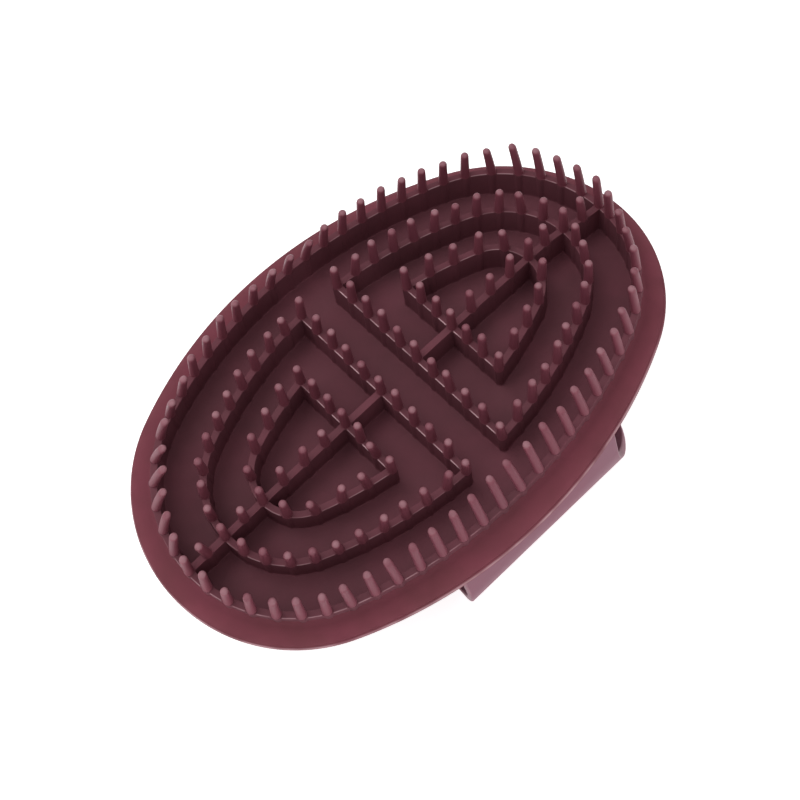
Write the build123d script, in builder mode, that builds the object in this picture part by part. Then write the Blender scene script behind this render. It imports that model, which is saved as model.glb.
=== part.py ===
"""Oval rubber curry comb, 165 mm long, lying on its hand strap with the pins up.

X runs along the length of the pad and Y across it.  The strap's flat crown rests on Z = 0.
The comb is one soft moulding, written here region by region: pad, rim, walls, pins and strap.
"""
from build123d import *
import os
from math import acos, atan2, cos, degrees, pi, sin

# Heights
HAND_GAP = 26.0          # clear height between the strap and the back of the pad
STRAP_THICK = 2.2
PAD_THICK = 2.5
WALL_HEIGHT = 8.8        # walls above the pad floor
PIN_HEIGHT = 8.8         # pins above the walls
RING_PIN_HEIGHT = 10.4
ROOT_RISE = 5.0          # top of the rim above the pad floor, where it meets the outer ring
EDGE_RISE = 2.4          # the same at the outer edge
EDGE_THICK = 2.0
EDGE_ROUND = 0.8
RIM_STEPS = 4            # sections that shape the rim's rounded top
SLOPE_POWER = 1.5        # 1 is a straight slope, more is a fuller one

PAD_BACK = STRAP_THICK + HAND_GAP
FLOOR = PAD_BACK + PAD_THICK
WALL_TOP = FLOOR + WALL_HEIGHT

# Ovals: half length, half width, radius of the end arcs
RIM_OVAL = (82.5, 54.2, 46.0)
RING_OVAL = (74.9, 45.6, 38.5)
OUTER_D_OVAL = (62.3, 32.3, 23.6)
INNER_D_OVAL = (49.2, 19.6, 12.6)

# Walls and pins
WALL_THICK = 1.9
RIB_THICK = 2.0
OUTER_D_X = 6.6          # centre line of the straight side of each large D
INNER_D_X = 19.7
COLUMN_RADIUS = 1.4      # half-round columns under the pins, and the feet of the pins
PIN_TIP = 1.15
RING_LEAN = 2.2          # how far a ring pin's tip leans inward
RING_QUARTER = 15        # intervals between ring pins in a quarter of the ring
OUTER_D_SIDE = 10        # intervals along the straight side and round half of the arc
OUTER_D_ARC = 11
INNER_D_SIDE = 6
INNER_D_ARC = 5
RIB_INTERVALS = 4        # along the rib inside each small D

# Strap
STRAP_END_HALF = 28.0    # half width of the strap at the rim and at its crown
STRAP_CROWN_HALF = 34.0
ROOT_HEIGHT = 4.0        # height of the strap that belongs to its root


# ---------------------------------------------------------------- ovals

def grown(oval, amount):
    """The oval parallel to this one, larger by amount all round."""
    return tuple(size + amount for size in oval)


def side_radius(oval):
    """Radius of the two long arcs, which are tangent to the end arcs."""
    a, b, r = oval
    return ((a - r) ** 2 + b ** 2 - r ** 2) / (2 * (b - r))


def end_angle(oval):
    """Half the angle that an end arc spans, in radians."""
    a, b, r = oval
    return atan2(side_radius(oval) - b, a - r)


def make_oval(oval):
    """A filled oval of four tangent arcs."""
    a, b, r = oval
    long_radius = side_radius(oval)
    half = degrees(end_angle(oval))
    with BuildSketch(Plane.XY) as sketch:
        with BuildLine():
            CenterArc((a - r, 0), r, -half, 2 * half)
            CenterArc((0, b - long_radius), long_radius, half, 180 - 2 * half)
            CenterArc((r - a, 0), r, 180 - half, 2 * half)
            CenterArc((0, long_radius - b), long_radius, 180 + half, 180 - 2 * half)
        make_face()
    return sketch.sketch


def oval_point(oval, length):
    """The point at this arc length from the oval's +X end, and the angle of its outward normal."""
    a, b, r = oval
    long_radius = side_radius(oval)
    half = end_angle(oval)
    if abs(length) <= r * half:
        angle = length / r
        return a - r + r * cos(angle), r * sin(angle), degrees(angle)
    side = 1 if length > 0 else -1
    angle = half + (abs(length) - r * half) / long_radius
    return long_radius * cos(angle), side * (b - long_radius + long_radius * sin(angle)), side * degrees(angle)


def length_to(oval, x):
    """Arc length from the oval's +X end to the point of its long arc at this x."""
    angle = acos(x / side_radius(oval))
    return oval[2] * end_angle(oval) + side_radius(oval) * (angle - end_angle(oval))


# ---------------------------------------------------------------- where the pins stand

def ring_places():
    """(x, y, normal angle) of the pins round the outer ring, one at each end of the long axis."""
    quarter = length_to(RING_OVAL, 0)
    right = [oval_point(RING_OVAL, quarter * k / RING_QUARTER) for k in range(-RING_QUARTER, RING_QUARTER + 1)]
    left = [(-x, y, 180 - angle) for x, y, angle in right[1:-1]]
    return right + left


def d_places(oval, straight_x, side_intervals, arc_intervals):
    """(x, y) of the pins round a D on the +X side: along its straight side, then round its arc."""
    corner = length_to(oval, straight_x)
    corner_y = oval_point(oval, corner)[1]
    straight = [(straight_x, corner_y * (2 * k / side_intervals - 1)) for k in range(side_intervals + 1)]
    arc = [oval_point(oval, corner * k / arc_intervals)[:2] for k in range(1 - arc_intervals, arc_intervals)]
    return straight + arc


def rib_places():
    """(x, y) of the pins along the long axis on the +X side."""
    step = (INNER_D_OVAL[0] - INNER_D_X) / RIB_INTERVALS
    inside = [(INNER_D_X + step * k, 0) for k in range(1, RIB_INTERVALS)]
    between = ((INNER_D_OVAL[0] + OUTER_D_OVAL[0]) / 2, 0)
    outside = ((OUTER_D_OVAL[0] + RING_OVAL[0]) / 2, 0)
    return inside + [between, outside]


OUTER_D_PLACES = d_places(OUTER_D_OVAL, OUTER_D_X, OUTER_D_SIDE, OUTER_D_ARC)
INNER_D_PLACES = d_places(INNER_D_OVAL, INNER_D_X, INNER_D_SIDE, INNER_D_ARC)
RIB_PLACES = rib_places()


# ---------------------------------------------------------------- the pad and its rim

def make_floor():
    outline = make_oval(grown(RING_OVAL, WALL_THICK / 2))
    with BuildPart() as floor:
        with BuildSketch(Plane.XY.offset(PAD_BACK)):
            add(outline)
        extrude(amount=PAD_THICK)
    return floor.part


def make_columns(places):
    """Round columns from the floor to the wall top."""
    with BuildPart() as posts:
        with BuildSketch(Plane.XY.offset(FLOOR)):
            with Locations(*places):
                Circle(COLUMN_RADIUS)
        extrude(amount=WALL_HEIGHT)
    return posts.part


def make_ring_wall():
    outside = make_oval(grown(RING_OVAL, WALL_THICK / 2))
    inside = make_oval(grown(RING_OVAL, -WALL_THICK / 2))
    posts = make_columns([(x, y) for x, y, angle in ring_places()])
    with BuildPart() as wall:
        with BuildSketch(Plane.XY.offset(FLOOR)):
            add(outside)
            add(inside, mode=Mode.SUBTRACT)
        extrude(amount=WALL_HEIGHT)
        add(posts)
    return wall.part


def make_rim(ring_wall):
    """A wedge-shaped rim round the ring: rounded down outside, hollowed beneath, thin at its edge."""
    root = grown(RING_OVAL, WALL_THICK / 2)
    root_outline = make_oval(root)
    edge_outline = make_oval(RIM_OVAL)
    edge_top = FLOOR + EDGE_RISE
    shares = [1 - step / RIM_STEPS for step in range(RIM_STEPS + 1)]
    slope = []
    for share in shares:
        oval = tuple(inner + share * (outer - inner) for inner, outer in zip(root, RIM_OVAL))
        slope.append((make_oval(oval), FLOOR + ROOT_RISE - (ROOT_RISE - EDGE_RISE) * share ** SLOPE_POWER))
    with BuildPart() as rim:
        for outline, height in slope:
            with BuildSketch(Plane.XY.offset(height)):
                add(outline)
        loft()
        with BuildSketch(Plane.XY.offset(edge_top - EDGE_THICK)):
            add(edge_outline)
        extrude(amount=EDGE_THICK)
        with BuildSketch(Plane.XY.offset(PAD_BACK)):
            add(root_outline)
        with BuildSketch(Plane.XY.offset(edge_top - EDGE_THICK)):
            add(edge_outline)
        loft(ruled=True)
        fillet(rim.edges().filter_by_position(Axis.Z, edge_top - 0.01, edge_top + 0.01), EDGE_ROUND)
        with BuildSketch(Plane.XY.offset(PAD_BACK)):
            add(root_outline)
        extrude(amount=WALL_TOP - PAD_BACK, mode=Mode.SUBTRACT)
        add(ring_wall, mode=Mode.SUBTRACT)
    return rim.part


# ---------------------------------------------------------------- D walls and ribs

def make_d_wall(oval, straight_x, places):
    """A D-shaped wall on the +X side with a column under each pin."""
    half = WALL_THICK / 2
    reach = oval[0]
    outside = make_oval(grown(oval, half))
    inside = make_oval(grown(oval, -half))
    posts = make_columns(places)
    with BuildPart() as wall:
        with BuildSketch(Plane.XY.offset(FLOOR)):
            add(outside)
            with Locations((straight_x - half - reach, 0)):
                Rectangle(2 * reach, 4 * reach, mode=Mode.SUBTRACT)
        extrude(amount=WALL_HEIGHT)
        with BuildSketch(Plane.XY.offset(FLOOR)):
            add(inside)
            with Locations((straight_x + half - reach, 0)):
                Rectangle(2 * reach, 4 * reach, mode=Mode.SUBTRACT)
        extrude(amount=WALL_HEIGHT, mode=Mode.SUBTRACT)
        add(posts)
    return wall.part


def make_rib(start, end, places, neighbours):
    """A straight rib on the long axis from start to end, cut back to the walls that it joins."""
    posts = make_columns(places)
    with BuildPart() as rib:
        with BuildSketch(Plane.XY.offset(FLOOR)):
            with Locations(((start + end) / 2, 0)):
                Rectangle(end - start, RIB_THICK)
        extrude(amount=WALL_HEIGHT)
        add(posts)
        for wall in neighbours:
            add(wall, mode=Mode.SUBTRACT)
    return rib.part


def make_tie_rib(neighbours):
    """The plain rib between the straight sides of a large D and the small D inside it."""
    with BuildPart() as rib:
        with BuildSketch(Plane.XY.offset(FLOOR)):
            with Locations(((OUTER_D_X + INNER_D_X) / 2, 0)):
                Rectangle(INNER_D_X - OUTER_D_X, RIB_THICK)
        extrude(amount=WALL_HEIGHT)
        for wall in neighbours:
            add(wall, mode=Mode.SUBTRACT)
    return rib.part


# ---------------------------------------------------------------- pins

def make_pin():
    """One upright pin with its foot at the origin: a slim cone with a round tip."""
    with BuildPart() as pin:
        with BuildSketch(Plane.XZ):
            with BuildLine():
                Line((0, 0), (COLUMN_RADIUS, 0))
                Line((COLUMN_RADIUS, 0), (PIN_TIP, PIN_HEIGHT - PIN_TIP))
                ThreePointArc((PIN_TIP, PIN_HEIGHT - PIN_TIP),
                              (PIN_TIP * sin(pi / 4), PIN_HEIGHT - PIN_TIP + PIN_TIP * cos(pi / 4)),
                              (0, PIN_HEIGHT))
                Line((0, PIN_HEIGHT), (0, 0))
            make_face()
        revolve(axis=Axis.Z)
    return pin.part


def make_ring_pin():
    """One pin with its foot at the origin that leans toward -X."""
    neck = RING_PIN_HEIGHT - PIN_TIP
    with BuildPart() as pin:
        with BuildSketch(Plane.XY):
            Circle(COLUMN_RADIUS)
        with BuildSketch(Plane.XY.offset(neck)):
            with Locations((-RING_LEAN, 0)):
                Circle(PIN_TIP)
        loft()
        with Locations((-RING_LEAN, 0, neck)):
            Sphere(PIN_TIP)
    return pin.part


def make_pins(places):
    pin = make_pin()
    with BuildPart() as pins:
        with Locations(*[(x, y, WALL_TOP) for x, y in places]):
            add(pin)
    return pins.part


def make_ring_pins():
    pin = make_ring_pin()
    with BuildPart() as pins:
        with Locations(*[Location((x, y, WALL_TOP), (0, 0, angle)) for x, y, angle in ring_places()]):
            add(pin)
    return pins.part


# ---------------------------------------------------------------- the strap

def strap_band():
    """The whole strap: a broad band that bows out of the rim on both sides and runs flat underneath."""
    top = FLOOR + EDGE_RISE - EDGE_THICK / 2
    route = [(-49.2, top), (-51.5, 17), (-47.8, STRAP_THICK / 2)]
    route += [(-y, z) for y, z in reversed(route)]
    radii = [22, 14, 14, 22]
    with BuildPart() as band:
        with BuildSketch(Plane.YZ):
            with BuildLine():
                FilletPolyline(*route, radius=radii)
            trace(line_width=STRAP_THICK)
        extrude(amount=STRAP_CROWN_HALF, both=True)
        with BuildSketch(Plane.XY):
            with BuildLine():
                ThreePointArc((STRAP_END_HALF, -60), (STRAP_CROWN_HALF, 0), (STRAP_END_HALF, 60))
                Line((STRAP_END_HALF, 60), (-STRAP_END_HALF, 60))
                ThreePointArc((-STRAP_END_HALF, 60), (-STRAP_CROWN_HALF, 0), (-STRAP_END_HALF, -60))
                Line((-STRAP_END_HALF, -60), (STRAP_END_HALF, -60))
            make_face()
        extrude(amount=FLOOR + 2 * EDGE_RISE, mode=Mode.INTERSECT)
    return band.part


def make_strap(band, split_z):
    with BuildPart() as strap:
        add(band)
        split(bisect_by=Plane.XY.offset(split_z), keep=Keep.BOTTOM)
    return strap.part


def make_strap_root(band, split_z, rim, side):
    """The top of the strap on one side, from the split up to the underside of the rim."""
    with BuildPart() as root:
        add(band)
        split(bisect_by=Plane.XY.offset(split_z), keep=Keep.TOP)
        split(bisect_by=Plane.XZ, keep=Keep.TOP if side > 0 else Keep.BOTTOM)
        add(rim, mode=Mode.SUBTRACT)
    return root.part


# ---------------------------------------------------------------- writing the parts

def write(name, part):
    part.label = name
    export_step(part, f"parts/{name}.step")


def write_pair(name, part):
    """The +X piece as right_NAME and its mirror image as left_NAME."""
    write(f"right_{name}", part)
    with BuildPart() as other:
        mirror(part, about=Plane.YZ)
    write(f"left_{name}", other.part)


def main():
    os.makedirs("parts", exist_ok=True)
    ring_wall = make_ring_wall()
    rim = make_rim(ring_wall)
    outer_d = make_d_wall(OUTER_D_OVAL, OUTER_D_X, OUTER_D_PLACES)
    inner_d = make_d_wall(INNER_D_OVAL, INNER_D_X, INNER_D_PLACES)
    write("pad_floor", make_floor())
    write("pad_rim", rim)
    write("ring_wall", ring_wall)
    write("ring_pins", make_ring_pins())

    write_pair("outer_d_wall", outer_d)
    write_pair("inner_d_wall", inner_d)
    write_pair("outer_d_pins", make_pins(OUTER_D_PLACES))
    write_pair("inner_d_pins", make_pins(INNER_D_PLACES))
    write_pair("tie_rib", make_tie_rib([outer_d, inner_d]))
    inner_rib = make_rib(INNER_D_X, INNER_D_OVAL[0], RIB_PLACES[:-2], [inner_d])
    write_pair("inner_rib", inner_rib)
    bridge_rib = make_rib(INNER_D_OVAL[0], OUTER_D_OVAL[0], RIB_PLACES[-2:-1], [inner_d, outer_d])
    write_pair("bridge_rib", bridge_rib)
    end_rib = make_rib(OUTER_D_OVAL[0], RING_OVAL[0], RIB_PLACES[-1:], [outer_d, ring_wall])
    write_pair("end_rib", end_rib)
    write_pair("rib_pins", make_pins(RIB_PLACES))

    band = strap_band()
    split_z = FLOOR - ROOT_HEIGHT
    write("hand_strap", make_strap(band, split_z))
    write("front_strap_root", make_strap_root(band, split_z, rim, -1))
    write("back_strap_root", make_strap_root(band, split_z, rim, 1))


main()
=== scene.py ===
"""Studio view of an oval rubber curry comb that stands on its hand strap with its pins up.

Each region of the moulding is meshed here with rounded edges and its own bent pins.
"""
import random
from math import acos, atan2, cos, degrees, pi, radians, sin, sqrt, tan

import bpy
import numpy as np
from mathutils import Matrix, Vector


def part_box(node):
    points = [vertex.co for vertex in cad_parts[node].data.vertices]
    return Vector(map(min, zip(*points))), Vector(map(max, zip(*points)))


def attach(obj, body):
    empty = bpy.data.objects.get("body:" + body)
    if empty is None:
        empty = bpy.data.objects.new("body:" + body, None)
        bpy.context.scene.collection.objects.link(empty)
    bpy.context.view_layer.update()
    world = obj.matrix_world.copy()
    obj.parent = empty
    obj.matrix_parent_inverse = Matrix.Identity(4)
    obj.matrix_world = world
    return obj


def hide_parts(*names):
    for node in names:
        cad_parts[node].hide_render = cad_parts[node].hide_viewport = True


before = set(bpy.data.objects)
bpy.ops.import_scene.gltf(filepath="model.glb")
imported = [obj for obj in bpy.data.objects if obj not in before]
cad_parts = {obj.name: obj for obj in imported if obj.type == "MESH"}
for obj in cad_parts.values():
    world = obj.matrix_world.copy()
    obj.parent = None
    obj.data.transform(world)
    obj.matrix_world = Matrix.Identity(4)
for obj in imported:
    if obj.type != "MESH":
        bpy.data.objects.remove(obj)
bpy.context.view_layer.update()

MM = 0.001
random.seed(7)

# Heights, in millimetres from the strap's underside
PAD_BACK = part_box("pad_floor")[0].z / MM
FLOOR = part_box("pad_floor")[1].z / MM
WALL_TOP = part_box("ring_wall")[1].z / MM
PIN_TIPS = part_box("right_outer_d_pins")[1].z / MM
RING_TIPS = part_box("ring_pins")[1].z / MM
ROOT_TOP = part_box("pad_rim")[1].z / MM
EDGE_RISE = 2.4
EDGE_TOP = FLOOR + EDGE_RISE
EDGE_THICK = 2.0

# Walls, and the round columns that stand in them under the pins
WALL_HALF = 0.95
WALL_SPREAD = 0.08           # a wall is this much thicker at its foot, on each side
RIB_HALF = 1.0
COLUMN_RADIUS = 1.4
COLUMN_FOOT = 1.15           # the columns are slimmer at the floor, so that they fade into the wall
WALL_SUNK = 0.4              # walls reach this far into the floor

# Ovals, in millimetres: half length, half width, radius of the end arcs
RIM_END, RING_END = 46.0, 38.5
OUTER_D_WIDE, OUTER_D_END = 32.3, 23.6
INNER_D_WIDE, INNER_D_END = 19.6, 12.6
RIM_OVAL = (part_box("pad_rim")[1].x / MM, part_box("pad_rim")[1].y / MM, RIM_END)
RING_OVAL = (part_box("pad_floor")[1].x / MM - WALL_HALF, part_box("pad_floor")[1].y / MM - WALL_HALF, RING_END)
OUTER_D_OVAL = (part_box("right_outer_d_wall")[1].x / MM - COLUMN_RADIUS, OUTER_D_WIDE, OUTER_D_END)
INNER_D_OVAL = (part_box("right_inner_d_wall")[1].x / MM - COLUMN_RADIUS, INNER_D_WIDE, INNER_D_END)
OUTER_D_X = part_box("right_outer_d_wall")[0].x / MM + COLUMN_RADIUS
INNER_D_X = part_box("right_inner_d_wall")[0].x / MM + COLUMN_RADIUS

# Pins, counted as intervals between neighbours
RING_QUARTER = 15
OUTER_D_SIDE, OUTER_D_ARC = 10, 11
INNER_D_SIDE, INNER_D_ARC = 6, 5
RIB_INTERVALS = 4

# Pins
PIN_SUNK = 0.45              # they reach this far into their columns
PIN_SHOULDER = 1.0           # height at which the column's radius ends and the taper begins
PIN_SHOULDER_RADIUS = COLUMN_RADIUS - 0.03
PIN_TIP = 1.15
PIN_STIFFNESS = 0.7          # this much of the lean is straight and the rest curves
PIN_SLOP = 0.42              # how far the tips stray from their places
RING_SLOP = 0.35
PIN_UNEVEN = 0.3             # how much shorter the shortest pins are
PIN_SIDES = 18

# Every ring pin leans a little inward. Along the front, and in short stretches at the back and the left,
# they lean much more. Each has its lean, its middle round from +X, and how far to each side it fades, in
# degrees. They are rounded from leans measured in the photograph.
RING_LEAN = 1.0
FRONT_LEAN, FRONT_ANGLE, FRONT_FADE = 3.5, 265, 80
BACK_LEAN, BACK_ANGLE, BACK_FADE = 2.5, 88, 30
LEFT_LEAN, LEFT_ANGLE, LEFT_FADE = 3.5, 158, 28

# Toward the +X end of the back half, the ring's pin feet and the end of the rib have slipped clockwise,
# between these lengths along the ring from its +X end
SLIP = 2.5
SLIP_START, SLIP_FULL, SLIP_LAST, SLIP_END = -9.0, 0.0, 28.0, 37.0
SLIP_FOLLOW = 0.3            # the tips follow this far
SLIP_OUTWARD = 1.5           # and lean this much less inward
RIB_SLIP_START = 55          # the x from which the rib slips

# The soft pad has a slight twist, and its ends droop: heights at x = y = BEND_SPAN
BEND_SPAN = 50
TWIST = 2.8
DROOP = 0.75

# Small rounded edges and fillets
TOP_ROUND = 0.15
FLOOR_FILLET = 0.35
RIM_FILLET = 1.2             # height of the hollow between the rim and the outer ring
RIM_FILLET_REACH = 0.3       # share of the rim's width that it takes
SHARP_ANGLE = 40

# A thin painted highlight runs along the top edges that face this way, where they catch the light
HIGHLIGHT_SIDE = (-0.8, -0.6)
HIGHLIGHT_WIDTH = 0.16
HIGHLIGHT_FACING = (0.5, 0.85)   # it grows between these amounts of facing that way
HIGHLIGHT_GAP = (1.3, 1.7)       # and between these distances from a pin
RING_HIGHLIGHT = 0.4
ARC_HIGHLIGHT = 0.35
RIB_HIGHLIGHT = 0.3
# Painted highlight along the rim's rounded edge where it faces that way
RIM_HIGHLIGHT = 0.5
RIM_FACING = (-0.1, 0.4)
RIM_PAINTED_LIGHT = 0.10              # painted light: the rim is painted paler toward its edge
STRAP_HIGHLIGHT = 0.2
TIP_HIGHLIGHT = 0.26          # painted highlight: the round tips are painted paler where they catch the light

# Each rubber's light tone, dark tone, roughness and specular level
PAD_RUBBER = ((0.182, 0.059, 0.078), (0.142, 0.051, 0.064), 0.65, 0.10)
RIM_RUBBER = ((0.206, 0.052, 0.074), (0.157, 0.045, 0.057), 0.65, 0.06)
# The pins and the strap are the pad's rubber; their lighter tones are painted light
PIN_RUBBER = ((0.236, 0.065, 0.090), (0.208, 0.057, 0.082), 0.45, 0.2)
STRAP_RUBBER = ((0.238, 0.080, 0.120), (0.216, 0.072, 0.112), 0.45, 0.15)
# Colours of the painted highlight, at its faint and at its full strength
FAINT_HIGHLIGHT_TONE = (0.55, 0.10, 0.14, 1)
HIGHLIGHT_TONE = (0.75, 0.48, 0.52, 1)


# ---------------------------------------------------------------- ovals and paths

def grown(oval, amount):
    """The oval parallel to this one, larger by amount all round."""
    return tuple(size + amount for size in oval)


def side_radius(oval):
    """Radius of the two long arcs, which are tangent to the end arcs."""
    a, b, r = oval
    return ((a - r) ** 2 + b ** 2 - r ** 2) / (2 * (b - r))


def end_angle(oval):
    """Half the angle that an end arc spans, in radians."""
    a, b, r = oval
    return atan2(side_radius(oval) - b, a - r)


def length_to(oval, x):
    """Arc length from the oval's +X end to the point of its long arc at this x."""
    angle = acos(x / side_radius(oval))
    return oval[2] * end_angle(oval) + side_radius(oval) * (angle - end_angle(oval))


def half_point(oval, length):
    """Point and outward normal at this arc length from the +X end, on the half where x is positive."""
    a, b, r = oval
    long_radius = side_radius(oval)
    half = end_angle(oval)
    if abs(length) <= r * half:
        angle = length / r
        return a - r + r * cos(angle), r * sin(angle), cos(angle), sin(angle)
    side = 1 if length > 0 else -1
    angle = half + (abs(length) - r * half) / long_radius
    y = side * (b - long_radius + long_radius * sin(angle))
    return long_radius * cos(angle), y, cos(angle), side * sin(angle)


def whole_point(oval, length):
    """Point and outward normal at this arc length from the +X end, all the way round."""
    quarter = length_to(oval, 0)
    length = (length + quarter) % (4 * quarter) - quarter
    if length <= quarter:
        return half_point(oval, length)
    x, y, nx, ny = half_point(oval, 2 * quarter - length)
    return -x, y, -nx, ny


def eased(value, start, end):
    """0 up to start, 1 from end on, and a smooth step between them."""
    t = min(1, max(0, (value - start) / (end - start)))
    return t * t * (3 - 2 * t)


class Path:
    """A line that a wall follows, and the places of the pins along it, measured by length."""

    def __init__(self, point, start, end, pins, closed=False):
        self.point = point
        self.start = start
        self.end = end
        self.pins = pins
        self.closed = closed


def even_ring_pins():
    """Evenly spaced lengths round the ring, from the +X end."""
    return [length_to(RING_OVAL, 0) * k / RING_QUARTER for k in range(4 * RING_QUARTER)]


def slip_share(length):
    """How much of the slip there is at this length round the ring."""
    whole = 4 * length_to(RING_OVAL, 0)
    near = (length + whole / 2) % whole - whole / 2
    return eased(near, SLIP_START, SLIP_FULL) * (1 - eased(near, SLIP_LAST, SLIP_END))


def slipped(length, follow=1.0):
    """Where the foot of the ring pin that belongs at this length stands."""
    return (length - SLIP * follow * slip_share(length)) % (4 * length_to(RING_OVAL, 0))


def ring_path():
    """The outer ring, all the way round."""
    pins = [slipped(length) for length in even_ring_pins()]
    return Path(lambda s: whole_point(RING_OVAL, s), 0, 4 * length_to(RING_OVAL, 0), pins, closed=True)


def arc_path(oval, straight_x, intervals, sign):
    """The arc of a D between its two corners."""
    corner = length_to(oval, straight_x)
    pins = [corner * k / intervals for k in range(1 - intervals, intervals)]

    def point(s):
        x, y, nx, ny = half_point(oval, s)
        return sign * x, y, sign * nx, ny
    return Path(point, -corner, corner, pins)


def side_path(oval, straight_x, intervals, sign):
    """The straight side of a D, corner to corner."""
    corner_y = half_point(oval, length_to(oval, straight_x))[1]
    pins = [corner_y * (2 * k / intervals - 1) for k in range(1, intervals)]
    return Path(lambda s: (sign * straight_x, s, sign, 0), -corner_y, corner_y, pins)


def rib_y(x):
    """How far the rib line has slipped sideways at this x."""
    return -SLIP * eased(x, RIB_SLIP_START, RING_OVAL[0])


def rib_path(start, end, pins, sign):
    """A rib along the comb's length, between these distances from the middle."""
    return Path(lambda s: (sign * s, rib_y(sign * s), 0, sign), start, end, pins)


def corner_places(oval, straight_x, sign):
    """The two corners of a D."""
    corner_y = half_point(oval, length_to(oval, straight_x))[1]
    return [(sign * straight_x, corner_y), (sign * straight_x, -corner_y)]


# ---------------------------------------------------------------- meshes

def bent(points):
    """Points of the flat pad moved to where its slight twist and droop put them."""
    points = np.asarray(points, float)
    x, y = points[:, 0] / BEND_SPAN, points[:, 1] / BEND_SPAN
    height = points[:, 2] - FLOOR
    sink = -(DROOP * x ** 2 + TWIST * x * y)
    slope_x = -(2 * DROOP * x + TWIST * y) / BEND_SPAN
    slope_y = -TWIST * x / BEND_SPAN
    normal = np.stack([-slope_x, -slope_y, np.ones(len(points))], axis=1)
    normal /= np.linalg.norm(normal, axis=1)[:, None]
    moved = np.stack([points[:, 0], points[:, 1], FLOOR + sink], axis=1)
    return moved + height[:, None] * normal


def make_piece(name, shape, material, nodes, bend=True):
    """A smooth-shaded mesh that stands for CAD nodes."""
    points = bent(shape.points) if bend else np.asarray(shape.points, float)
    mesh = bpy.data.meshes.new(name)
    mesh.from_pydata([tuple(p * MM) for p in points], [], shape.faces)
    # How much each point is painted paler, as a painted highlight
    painted_highlight = mesh.attributes.new("painted_highlight", "FLOAT", "POINT")
    painted_highlight.data.foreach_set("value", shape.painted_highlight)
    mesh.update()
    piece = bpy.data.objects.new(name, mesh)
    bpy.context.scene.collection.objects.link(piece)
    for face in mesh.polygons:
        face.use_smooth = True
    mesh.set_sharp_from_angle(angle=radians(SHARP_ANGLE))
    mesh.materials.append(material)
    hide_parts(*nodes)
    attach(piece, "root")


class Shape:
    """Points and faces gathered from several grids."""

    def __init__(self):
        self.points = []
        self.faces = []
        self.painted_highlight = []

    def grid(self, rows, wrap_rows=False, caps=(), painted_highlight=None):
        """Joins rows of points with quads. Each row is closed, and all have the same number of points."""
        first = len(self.points)
        count = len(rows[0])
        self.painted_highlight.extend(painted_highlight or [0.0] * (len(rows) * count))
        for row in rows:
            self.points.extend(row)
        row_count = len(rows)
        for i in range(row_count if wrap_rows else row_count - 1):
            j = (i + 1) % row_count
            for k in range(count):
                m = (k + 1) % count
                self.faces.append((first + i * count + k, first + i * count + m,
                                   first + j * count + m, first + j * count + k))
        if "start" in caps:
            self.faces.append(tuple(first + k for k in reversed(range(count))))
        if "end" in caps:
            last = first + (row_count - 1) * count
            self.faces.append(tuple(last + k for k in range(count)))


def stations(path):
    """Lengths along a path at which the wall has a section, closer together beside the pins."""
    near = (0, 0.3, 0.6, 0.85, 1.05, 1.2, 1.35, 1.5, 1.7, 2.0)
    widest_gap, closest_gap = 1.3, 0.12
    values = {path.start} if path.closed else {path.start, path.end}
    for pin in path.pins:
        for gap in near:
            values.update((pin - gap, pin + gap))
    marks = sorted(path.pins if path.closed else [path.start, *path.pins, path.end])
    if path.closed:
        marks.append(marks[0] + path.end - path.start)
    for low, high in zip(marks, marks[1:]):
        steps = max(2, round((high - low) / widest_gap))
        values.update(low + (high - low) * k / steps for k in range(1, steps))
    if path.closed:
        span = path.end - path.start
        values = {round(value % span, 4) for value in values}
    ordered = sorted(values)
    kept = [ordered[0]]
    for value in ordered[1:]:
        if value - kept[-1] > closest_gap:
            kept.append(value)
    if not path.closed:
        kept = [v for v in kept if path.start <= v <= path.end]
        kept[0], kept[-1] = path.start, path.end
    return kept


def half_thickness(height, away, thin):
    """Half the wall's thickness at this height, this far along from the nearest pin's centre."""
    column = COLUMN_FOOT + (COLUMN_RADIUS - COLUMN_FOOT) * height / (WALL_TOP - FLOOR)
    wall = thin + WALL_SPREAD * (1 - height / (WALL_TOP - FLOOR))
    if height < FLOOR_FILLET:
        flare = FLOOR_FILLET - sqrt(max(0, FLOOR_FILLET ** 2 - (FLOOR_FILLET - height) ** 2))
        wall += flare
        column += 0.5 * flare
    bulge = sqrt(max(0, column ** 2 - away ** 2))
    power = 5                # a higher power gives a sharper corner between wall and column
    return (wall ** power + bulge ** power) ** (1 / power)


def wall_profile():
    """(height, inset) up one face of a wall and over its rounded top edge, and which of them carry the painted
    highlight.
    """
    tall = WALL_TOP - FLOOR
    face = [(-WALL_SUNK, 0), (0, 0), (0.06, 0), (0.15, 0), (0.35, 0), (0.8, 0), (3.0, 0), (6.0, 0)]
    face += [(tall - TOP_ROUND - HIGHLIGHT_WIDTH, 0), (tall - TOP_ROUND, 0)]
    turn = [(tall - TOP_ROUND * (1 - sin(a)), TOP_ROUND * (1 - cos(a))) for a in (pi / 4, pi / 2)]
    profile = face + turn + [(tall, TOP_ROUND + HIGHLIGHT_WIDTH)]
    edge = [1 if height >= tall - TOP_ROUND and inset <= TOP_ROUND else 0 for height, inset in profile]
    return profile, edge


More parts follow.
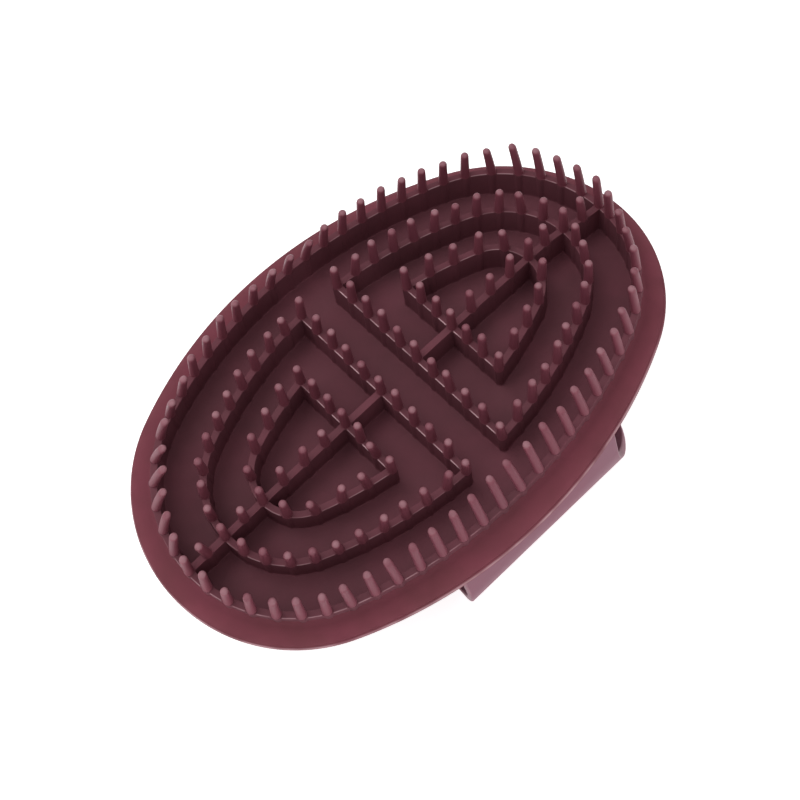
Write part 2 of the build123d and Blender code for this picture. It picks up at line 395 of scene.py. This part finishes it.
def wall_rows(path, thin, highlight_share):
    """Sections of a wall with rounded top edges and columns, and how much painted highlight each point carries.
    """
    rows = []
    painted_highlight = []
    span = path.end - path.start
    profile, edge = wall_profile()
    for s in stations(path):
        x, y, nx, ny = path.point(s)
        away = span
        for pin in path.pins:
            gap = abs(s - pin)
            if path.closed:
                gap = min(gap, span - gap)
            away = min(away, gap)
        if not path.closed:
            away = min(away, s - path.start, path.end - s)
        row = []
        for side in (1, -1):
            # Painted highlight on the top edge that faces one way, fading next to the pins
            facing = side * (nx * HIGHLIGHT_SIDE[0] + ny * HIGHLIGHT_SIDE[1])
            amount = highlight_share * eased(facing, *HIGHLIGHT_FACING) * eased(away, *HIGHLIGHT_GAP)
            order = range(len(profile)) if side == 1 else reversed(range(len(profile)))
            for k in order:
                height, inset = profile[k]
                offset = side * (half_thickness(max(height, 0), away, thin) - inset)
                row.append((x + offset * nx, y + offset * ny, FLOOR + height))
                painted_highlight.append(amount * edge[k])
        rows.append(row)
    return rows, painted_highlight


def add_wall(shape, path, thin=WALL_HALF, highlight_share=1.0):
    """A wall along the path, from inside the floor to its rounded top."""
    ends = () if path.closed else ("start", "end")
    rows, painted_highlight = wall_rows(path, thin, highlight_share)
    shape.grid(rows, wrap_rows=path.closed, caps=ends, painted_highlight=painted_highlight)


def circle(count):
    """Angles evenly round a circle."""
    return [2 * pi * k / count for k in range(count)]


def add_post(shape, x, y):
    """A round corner column up to the wall's top."""
    tall = WALL_TOP - FLOOR
    rows = []
    for height in (-WALL_SUNK, 0, 0.1, 0.25, 0.55, 4.0, tall - 0.02):
        radius = COLUMN_FOOT + (COLUMN_RADIUS - COLUMN_FOOT) * max(height, 0) / tall
        if height < FLOOR_FILLET:
            low = FLOOR_FILLET - max(height, 0)
            radius += FLOOR_FILLET - sqrt(max(0, FLOOR_FILLET ** 2 - low ** 2))
        rows.append([(x + radius * cos(a), y + radius * sin(a), FLOOR + height) for a in circle(24)])
    shape.grid(rows, caps=("start", "end"))


def add_pin(shape, x, y, tip_x, tip_y, top):
    """A slim tapered pin with a round tip, leaning a little."""
    foot = WALL_TOP - PIN_SUNK
    neck = top - PIN_TIP - foot
    rows = []
    pale = []
    levels = [(0, COLUMN_RADIUS + 0.02), (PIN_SUNK, COLUMN_RADIUS), (PIN_SHOULDER, PIN_SHOULDER_RADIUS)]
    steps = 6
    for k in range(1, steps + 1):
        share = k / steps
        height = PIN_SHOULDER + (neck - PIN_SHOULDER) * share
        levels.append((height, PIN_SHOULDER_RADIUS + (PIN_TIP - PIN_SHOULDER_RADIUS) * share ** 0.85))
    for angle in (0.35, 0.7, 1.0, 1.25, 1.42):
        levels.append((neck + PIN_TIP * sin(angle), PIN_TIP * cos(angle)))
    for height, radius in levels:
        share = height / (top - foot)
        lean = PIN_STIFFNESS * share + (1 - PIN_STIFFNESS) * share ** 2
        cx = x + (tip_x - x) * lean
        cy = y + (tip_y - y) * lean
        rows.append([(cx + radius * cos(a), cy + radius * sin(a), foot + height) for a in circle(PIN_SIDES)])
        # Painted highlight over the round tip
        pale += [TIP_HIGHLIGHT * eased(height, neck, neck + 0.8 * PIN_TIP)] * PIN_SIDES
    shape.grid(rows, caps=("start", "end"), painted_highlight=pale)


# ---------------------------------------------------------------- materials

MIX_A, MIX_B, MIX_RESULT = 6, 7, 2      # the colour sockets of a Mix node


def add_noise(tree, place, scale, detail):
    """A noise texture fixed to the object."""
    noise = tree.nodes.new("ShaderNodeTexNoise")
    noise.inputs["Scale"].default_value = scale
    noise.inputs["Detail"].default_value = detail
    tree.links.new(place.outputs["Object"], noise.inputs["Vector"])
    return noise


def rubber(name, light, dark, roughness, specular):
    """Moulded rubber: a little mottled, finely grained, and painted paler in patches where it carries a painted
    highlight.
    """
    material = bpy.data.materials.new(name)
    material.use_nodes = True
    tree = material.node_tree
    nodes, links = tree.nodes, tree.links
    nodes.clear()
    out = nodes.new("ShaderNodeOutputMaterial")
    shader = nodes.new("ShaderNodeBsdfPrincipled")
    links.new(shader.outputs["BSDF"], out.inputs["Surface"])
    place = nodes.new("ShaderNodeTexCoord")
    cloudy = add_noise(tree, place, 55, 5)
    cloudy.inputs["Roughness"].default_value = 0.6
    fine = add_noise(tree, place, 1500, 3)
    patchy = add_noise(tree, place, 130, 1)
    tone = nodes.new("ShaderNodeValToRGB")
    tone.color_ramp.elements[0].position = 0.3
    tone.color_ramp.elements[0].color = (*dark, 1)
    tone.color_ramp.elements[1].position = 0.7
    tone.color_ramp.elements[1].color = (*light, 1)
    links.new(cloudy.outputs["Fac"], tone.inputs["Fac"])
    # Painted highlight: paler where the attribute says, broken into patches
    edge = nodes.new("ShaderNodeAttribute")
    edge.attribute_name = "painted_highlight"
    paler = nodes.new("ShaderNodeMix")
    paler.data_type = "RGBA"
    spread = nodes.new("ShaderNodeMapRange")
    spread.inputs["From Min"].default_value = 0.38
    spread.inputs["From Max"].default_value = 0.58
    spread.inputs["To Min"].default_value = 0.35
    links.new(patchy.outputs["Fac"], spread.inputs["Value"])
    broken = nodes.new("ShaderNodeMath")
    broken.operation = "MULTIPLY"
    links.new(edge.outputs["Fac"], broken.inputs[0])
    links.new(spread.outputs["Result"], broken.inputs[1])
    links.new(broken.outputs["Value"], paler.inputs["Factor"])
    links.new(tone.outputs["Color"], paler.inputs[MIX_A])
    pale = nodes.new("ShaderNodeValToRGB")
    pale.color_ramp.elements[0].color = FAINT_HIGHLIGHT_TONE
    pale.color_ramp.elements[1].position = 0.25
    pale.color_ramp.elements[1].color = HIGHLIGHT_TONE
    links.new(edge.outputs["Fac"], pale.inputs["Fac"])
    links.new(pale.outputs["Color"], paler.inputs[MIX_B])
    links.new(paler.outputs[MIX_RESULT], shader.inputs["Base Color"])
    gloss = nodes.new("ShaderNodeMapRange")
    gloss.inputs["From Min"].default_value = 0.3
    gloss.inputs["From Max"].default_value = 0.7
    gloss.inputs["To Min"].default_value = roughness - 0.05
    gloss.inputs["To Max"].default_value = roughness + 0.06
    links.new(cloudy.outputs["Fac"], gloss.inputs["Value"])
    links.new(gloss.outputs["Result"], shader.inputs["Roughness"])
    bump = nodes.new("ShaderNodeBump")
    bump.inputs["Strength"].default_value = 0.25
    bump.inputs["Distance"].default_value = 0.00006
    links.new(fine.outputs["Fac"], bump.inputs["Height"])
    links.new(bump.outputs["Normal"], shader.inputs["Normal"])
    shader.inputs["Specular IOR Level"].default_value = specular
    return material


# ---------------------------------------------------------------- the pad

def build_floor(material):
    shape = Shape()
    outline = grown(RING_OVAL, WALL_HALF)
    whole = 4 * length_to(outline, 0)
    count = 160
    ring = [whole_point(outline, whole * k / count)[:2] for k in range(count)]
    shares = (1, 0.97, 0.9, 0.8, 0.7, 0.6, 0.5, 0.4, 0.3, 0.2, 0.1, 0.03)
    rows = [[(x * t, y * t, FLOOR) for x, y in ring] for t in reversed(shares)]
    rows += [[(x * t, y * t, PAD_BACK) for x, y in ring] for t in shares]
    shape.grid(rows, caps=("start", "end"))
    make_piece("floor_sheet", shape, material, ["pad_floor"])


RIM_LAND = 0.985             # share of the rim's width at which its slope ends
RIM_SLOPE_POWER = 1.5
RIM_UNDER_POWER = 1.2
RIM_NOSE = 0.13              # share of the rim's width that its rounded edge takes
RIM_ROOT_LAP = 0.3           # the rim reaches this far under the ring wall
RIM_EDGE_SHARE = 0.96        # the painted highlight lies beyond this share of the width
RIM_EDGE_DEPTH = 0.7         # and down to this far below the edge's top


def rim_profile():
    """(share of the way from ring to edge, height) round the rim's section, from the top of its root."""
    edge_low = EDGE_TOP - EDGE_THICK
    slope = [k / 10 for k in range(11)]
    top = []
    for t in (0, 0.03, 0.06, 0.1, 0.14, 0.18, 0.22, 0.26, *slope[3:-1]):
        fillet = RIM_FILLET * max(0, 1 - t / RIM_FILLET_REACH) ** 2.5
        top.append((RIM_LAND * t, ROOT_TOP - (ROOT_TOP - EDGE_TOP) * t ** RIM_SLOPE_POWER + fillet))
    nose = []
    radius = EDGE_THICK / 2
    for k in range(9):
        angle = radians(80 - 160 * k / 8)
        nose.append((1 - RIM_NOSE * (1 - cos(angle)), edge_low + radius + radius * sin(angle)))
    under = [(RIM_LAND * t, PAD_BACK + (edge_low - PAD_BACK) * t ** RIM_UNDER_POWER)
             for t in reversed(slope[:-1])]
    return top + nose + under


def build_rim(material):
    shape = Shape()
    root = grown(RING_OVAL, WALL_HALF - RIM_ROOT_LAP)
    count = 240
    root_length = 4 * length_to(root, 0)
    rim_length = 4 * length_to(RIM_OVAL, 0)
    profile = rim_profile()
    rows = []
    painted_highlight = []
    for k in range(count):
        x0, y0 = whole_point(root, root_length * k / count)[:2]
        x1, y1, nx, ny = whole_point(RIM_OVAL, rim_length * k / count)
        rows.append([(x0 + (x1 - x0) * t, y0 + (y1 - y0) * t, z) for t, z in profile])
        facing = nx * HIGHLIGHT_SIDE[0] + ny * HIGHLIGHT_SIDE[1]
        amount = RIM_HIGHLIGHT * eased(facing, *RIM_FACING)
        for t, z in profile:
            # Painted highlight on the rim's edge, and painted light that grows paler toward the edge
            on_edge = t > RIM_EDGE_SHARE and z > EDGE_TOP - RIM_EDGE_DEPTH
            painted_highlight.append(amount if on_edge else RIM_PAINTED_LIGHT * t ** 2)
    shape.grid(rows, wrap_rows=True, painted_highlight=painted_highlight)
    make_piece("rim", shape, material, ["pad_rim"])


def build_walls(material):
    ring = Shape()
    add_wall(ring, ring_path(), highlight_share=RING_HIGHLIGHT)
    make_piece("outer_ring", ring, material, ["ring_wall"])
    for side, sign in (("left", -1), ("right", 1)):
        for which, oval, straight_x, across, around in (
                ("outer", OUTER_D_OVAL, OUTER_D_X, OUTER_D_SIDE, OUTER_D_ARC),
                ("inner", INNER_D_OVAL, INNER_D_X, INNER_D_SIDE, INNER_D_ARC)):
            shape = Shape()
            add_wall(shape, arc_path(oval, straight_x, around, sign), highlight_share=ARC_HIGHLIGHT)
            add_wall(shape, side_path(oval, straight_x, across, sign))
            for x, y in corner_places(oval, straight_x, sign):
                add_post(shape, x, y)
            make_piece(f"{side}_{which}_d", shape, material,
                       [f"{side}_{which}_d_wall"])
        for name, start, end, pins in rib_spans():
            shape = Shape()
            add_wall(shape, rib_path(start, end, pins, sign), thin=RIB_HALF, highlight_share=RIB_HIGHLIGHT)
            make_piece(f"{side}_{name}_web", shape, material,
                       [f"{side}_{name}"])


def rib_spans():
    """(node, start, end, pins) of each rib on one side. Each rib runs a little into its neighbours."""
    step = (INNER_D_OVAL[0] - INNER_D_X) / RIB_INTERVALS
    inside = [INNER_D_X + step * k for k in range(1, RIB_INTERVALS)]
    between = (INNER_D_OVAL[0] + OUTER_D_OVAL[0]) / 2
    outside = (OUTER_D_OVAL[0] + RING_OVAL[0]) / 2
    return [("tie_rib", OUTER_D_X, INNER_D_X, []),
            ("inner_rib", INNER_D_X, INNER_D_OVAL[0], inside),
            ("bridge_rib", INNER_D_OVAL[0], OUTER_D_OVAL[0], [between]),
            ("end_rib", OUTER_D_OVAL[0], RING_OVAL[0], [outside])]


# ---------------------------------------------------------------- the pins

def build_loose_pins(name, node, places, material):
    """A row of upright pins. Those on the rib line, at y = 0, follow its slip, and their tips half of it."""
    shape = Shape()
    for x, y in places:
        foot_y = y or rib_y(x)
        tip_x = x + random.gauss(0, PIN_SLOP)
        tip_y = (y + foot_y) / 2 + random.gauss(0, PIN_SLOP)
        add_pin(shape, x, foot_y, tip_x, tip_y, PIN_TIPS - random.uniform(0, PIN_UNEVEN))
    make_piece(name, shape, material, [node])


def ring_lean(x, y):
    """How far inward the tip of a ring pin at this place leans."""
    turn = degrees(atan2(y, x)) % 360
    front = 1 - eased(abs(turn - FRONT_ANGLE), 0, FRONT_FADE)
    back = 1 - eased(abs(turn - BACK_ANGLE), 0, BACK_FADE)
    left = 1 - eased(abs(turn - LEFT_ANGLE), 0, LEFT_FADE)
    return RING_LEAN + FRONT_LEAN * front + BACK_LEAN * back + LEFT_LEAN * left


def build_ring_pins(material):
    shape = Shape()
    path = ring_path()
    for place, foot in zip(even_ring_pins(), path.pins):
        x, y, nx, ny = path.point(slipped(place, SLIP_FOLLOW))
        foot_x, foot_y = path.point(foot)[:2]
        lean = ring_lean(x, y) - SLIP_OUTWARD * slip_share(place) + random.gauss(0, RING_SLOP)
        drift = random.gauss(0, RING_SLOP)
        tip_x = x - lean * nx - drift * ny
        tip_y = y - lean * ny + drift * nx
        add_pin(shape, foot_x, foot_y, tip_x, tip_y, RING_TIPS - random.uniform(0, PIN_UNEVEN))
    make_piece("ring_pin_row", shape, material, ["ring_pins"])


def build_pins(material):
    build_ring_pins(material)
    for side, sign in (("left", -1), ("right", 1)):
        for which, oval, straight_x, across, around in (
                ("outer", OUTER_D_OVAL, OUTER_D_X, OUTER_D_SIDE, OUTER_D_ARC),
                ("inner", INNER_D_OVAL, INNER_D_X, INNER_D_SIDE, INNER_D_ARC)):
            places = corner_places(oval, straight_x, sign)
            for path in (arc_path(oval, straight_x, around, sign), side_path(oval, straight_x, across, sign)):
                places += [path.point(pin)[:2] for pin in path.pins]
            build_loose_pins(f"{side}_{which}_pin_row", f"{side}_{which}_d_pins", places, material)
        places = [(sign * pin, 0) for name, start, end, pins in rib_spans() for pin in pins]
        build_loose_pins(f"{side}_rib_pin_row", f"{side}_rib_pins", places, material)


# ---------------------------------------------------------------- the strap

STRAP_THICK = 2.2
STRAP_ROUND = 0.5
STRAP_ROUTE = [(-49.2, FLOOR + 1.4), (-51.5, 17.0), (-47.8, STRAP_THICK / 2)]
STRAP_RADII = [22, 14]
STRAP_STEP = 1.2
STRAP_END_HALF = 28.0
STRAP_CROWN_HALF = 34.0
STRAP_FLARE = (0.15, 0.53)   # it widens between these shares of the way from its end to its middle
STRAP_END_SLIDE = 1.5        # the crown is pushed toward +X, as the photograph shows
STRAP_CROWN_SLIDE = 11.0
STRAP_BEND = (5, FLOOR - 4)  # it takes up the pad's twist between these heights


def rounded_route(corners, radii):
    """Points along straight runs joined by tangent arcs."""
    points = [Vector(corners[0])]
    for before, corner, after, radius in zip(corners, corners[1:], corners[2:], radii):
        corner = Vector(corner)
        back = (Vector(before) - corner).normalized()
        ahead = (Vector(after) - corner).normalized()
        half = back.angle(ahead) / 2
        reach = radius / tan(half)
        middle = corner + (back + ahead).normalized() * radius / sin(half)
        first, last = corner + back * reach, corner + ahead * reach
        start, end = first - middle, last - middle
        sweep = start.angle_signed(end)
        count = max(4, int(abs(sweep) * radius / STRAP_STEP))
        for k in range(count + 1):
            turned = start.copy()
            turned.rotate(Matrix.Rotation(-sweep * k / count, 2))
            points.append(middle + turned)
    points.append(Vector(corners[-1]))
    return points


def build_strap(material):
    right = [(-y, z) for y, z in reversed(STRAP_ROUTE)]
    radii = STRAP_RADII + STRAP_RADII[::-1]
    route = rounded_route(STRAP_ROUTE + right, radii)
    half = STRAP_THICK / 2
    travelled = [0.0]
    for before, after in zip(route, route[1:]):
        travelled.append(travelled[-1] + (after - before).length)
    rows = []
    for k, point in enumerate(route):
        before, after = route[max(k - 1, 0)], route[min(k + 1, len(route) - 1)]
        along = (after - before).normalized()
        out = Vector((-along.y, along.x))
        share = 1 - abs(2 * travelled[k] / travelled[-1] - 1)
        flare = eased(share, *STRAP_FLARE)
        wide = STRAP_END_HALF + (STRAP_CROWN_HALF - STRAP_END_HALF) * flare
        slide = STRAP_END_SLIDE + (STRAP_CROWN_SLIDE - STRAP_END_SLIDE) * flare
        row = []
        for sign in (1, -1):
            for corner, start in ((-1, -90), (1, 0)):
                for a in range(5):
                    angle = radians(start + 22.5 * a)
                    x = slide + sign * (wide - STRAP_ROUND + STRAP_ROUND * cos(angle))
                    offset = sign * (corner * (half - STRAP_ROUND) + STRAP_ROUND * sin(angle))
                    row.append((x, point.x + out.x * offset, point.y + out.y * offset))
            for part in (0.6, 0.2, -0.2, -0.6):
                offset = sign * half
                row.append((slide + sign * part * wide, point.x + out.x * offset, point.y + out.y * offset))
        flat = np.array(row)
        follow = eased(point.y, *STRAP_BEND)
        rows.append([tuple(p) for p in flat + follow * (bent(flat) - flat)])
    shape = Shape()
    # Painted highlight along the strap's rounded edges
    edges = [0.0] + [STRAP_HIGHLIGHT] * 8 + [0.0] * 5
    shape.grid(rows, caps=("start", "end"), painted_highlight=edges * 2 * len(rows))
    make_piece("strap", shape, material,
               ["hand_strap", "front_strap_root", "back_strap_root"], bend=False)


# ---------------------------------------------------------------- light, floor and camera

GROUND_SIZE = 6
GROUND_TONE = (0.93, 0.93, 0.93, 1)
GROUND_GLOW = 0.72

# Soft boxes: name, place in metres and power in watts
SOFTBOXES = (("far_softbox", (-0.1, 0.42, 0.9), 1.8),
             ("left_softbox", (-0.6, 0.3, 0.75), 1.4),
             ("front_softbox", (-0.1, -0.95, 0.3), 1.1))
SOFTBOX_SIZE = 0.5
LIT_PLACE = (0, 0, 0.03)

# Brightness of the surroundings below and above, and the heights at which they begin
LOW_GREY, LOW_STOP = 0.12, 0.2
HIGH_GREY, HIGH_STOP = 0.85, 0.9

# Where the photograph was taken from, fitted to the comb's outlines in it
CAMERA_PLACE = (-97.7, -147.6, 396.5)
CAMERA_HEADING = 56.9        # degrees round from +X
CAMERA_DOWN = 64.6           # degrees below the horizon
CAMERA_ROLL = -11.7
CAMERA_SENSOR = 36
CAMERA_LENS = 67.5


def build_stage():
    """A pale floor, bright enough to look white."""
    bpy.ops.mesh.primitive_plane_add(size=GROUND_SIZE)
    ground = bpy.context.object
    ground.name = "ground"
    material = bpy.data.materials.new("ground_white")
    material.use_nodes = True
    shader = material.node_tree.nodes["Principled BSDF"]
    shader.inputs["Base Color"].default_value = GROUND_TONE
    shader.inputs["Roughness"].default_value = 0.9
    shader.inputs["Specular IOR Level"].default_value = 0.0
    shader.inputs["Emission Color"].default_value = (1, 1, 1, 1)
    shader.inputs["Emission Strength"].default_value = GROUND_GLOW
    ground.data.materials.append(material)


def area_light(name, place, power):
    """A round soft box that faces the comb."""
    data = bpy.data.lights.new(name, "AREA")
    data.shape = "DISK"
    data.size = SOFTBOX_SIZE
    data.energy = power
    light = bpy.data.objects.new(name, data)
    light.location = place
    light.rotation_euler = (Vector(LIT_PLACE) - Vector(place)).to_track_quat("-Z", "Y").to_euler()
    bpy.context.scene.collection.objects.link(light)


def build_light():
    """Soft boxes over the far side and the left end, a weak one in front, and a bright ceiling."""
    world = bpy.data.worlds.new("studio")
    world.use_nodes = True
    tree = world.node_tree
    place = tree.nodes.new("ShaderNodeTexCoord")
    split = tree.nodes.new("ShaderNodeSeparateXYZ")
    ramp = tree.nodes.new("ShaderNodeValToRGB")
    tree.links.new(place.outputs["Generated"], split.inputs["Vector"])
    tree.links.new(split.outputs["Z"], ramp.inputs["Fac"])
    tree.links.new(ramp.outputs["Color"], tree.nodes["Background"].inputs["Color"])
    stops = ramp.color_ramp.elements
    stops[0].position, stops[0].color = LOW_STOP, (LOW_GREY, LOW_GREY, LOW_GREY, 1)
    stops[1].position, stops[1].color = HIGH_STOP, (HIGH_GREY, HIGH_GREY, HIGH_GREY, 1)
    bpy.context.scene.world = world
    for name, spot, power in SOFTBOXES:
        area_light(name, spot, power)
    bpy.context.scene.view_settings.view_transform = "Standard"


def build_camera():
    """A camera that looks steeply down along the comb's diagonal and is rolled a little."""
    data = bpy.data.cameras.new("camera")
    data.sensor_width = CAMERA_SENSOR
    data.lens = CAMERA_LENS
    camera = bpy.data.objects.new("camera", data)
    heading = Matrix.Rotation(radians(CAMERA_HEADING - 90), 4, "Z")
    pitch = Matrix.Rotation(radians(90 - CAMERA_DOWN), 4, "X")
    roll = Matrix.Rotation(radians(CAMERA_ROLL), 4, "Z")
    place = Matrix.Translation(Vector(CAMERA_PLACE) * MM)
    camera.matrix_world = place @ heading @ pitch @ roll
    bpy.context.scene.collection.objects.link(camera)
    bpy.context.scene.camera = camera


# ---------------------------------------------------------------- all together

def main():
    pad = rubber("burgundy_rubber", *PAD_RUBBER)
    rim = rubber("rim_rubber", *RIM_RUBBER)
    pins = rubber("pin_rubber", *PIN_RUBBER)
    strap = rubber("strap_rubber", *STRAP_RUBBER)
    build_floor(pad)
    build_rim(rim)
    build_walls(pad)
    build_pins(pins)
    build_strap(strap)
    build_stage()
    build_light()
    build_camera()


main()
